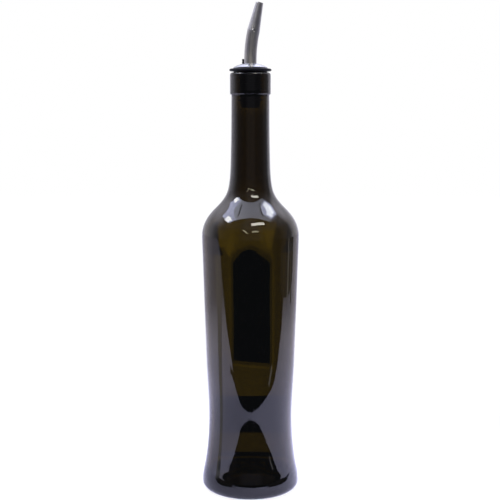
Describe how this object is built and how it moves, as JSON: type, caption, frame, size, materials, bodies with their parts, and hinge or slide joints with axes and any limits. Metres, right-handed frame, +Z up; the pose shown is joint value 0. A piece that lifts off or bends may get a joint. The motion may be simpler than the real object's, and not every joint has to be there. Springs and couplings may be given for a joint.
{
  "type": "glass pourer bottle",
  "caption": "Waisted bottle of dark glass with a finned stopper in its mouth that carries a polished dome and a bent, tapered steel spout for oil or vinegar.",
  "frame": {"origin": "centre of the foot ring that the bottle stands on", "axes": "+Z up along the bottle's axis; the spout leans towards +X and a little towards -Y"},
  "size_m": [0.0706, 0.0706, 0.3521],
  "materials": {
    "dark_glass": "clear and glossy, very dark brown with an olive tint",
    "black_stopper": "moulded, half matt, black",
    "polished_steel": "pressed and polished stainless steel",
    "drawn_steel": "drawn stainless steel, with fine marks along its length",
    "black_vent": "extruded, satin, black"
  },
  "bodies": {
    "root": {"glass_bottle": "dark_glass", "stopper": "black_stopper", "dome_cap": "polished_steel", "spout": "drawn_steel", "vent_tube": "black_vent"}
  },
  "joints": []
}
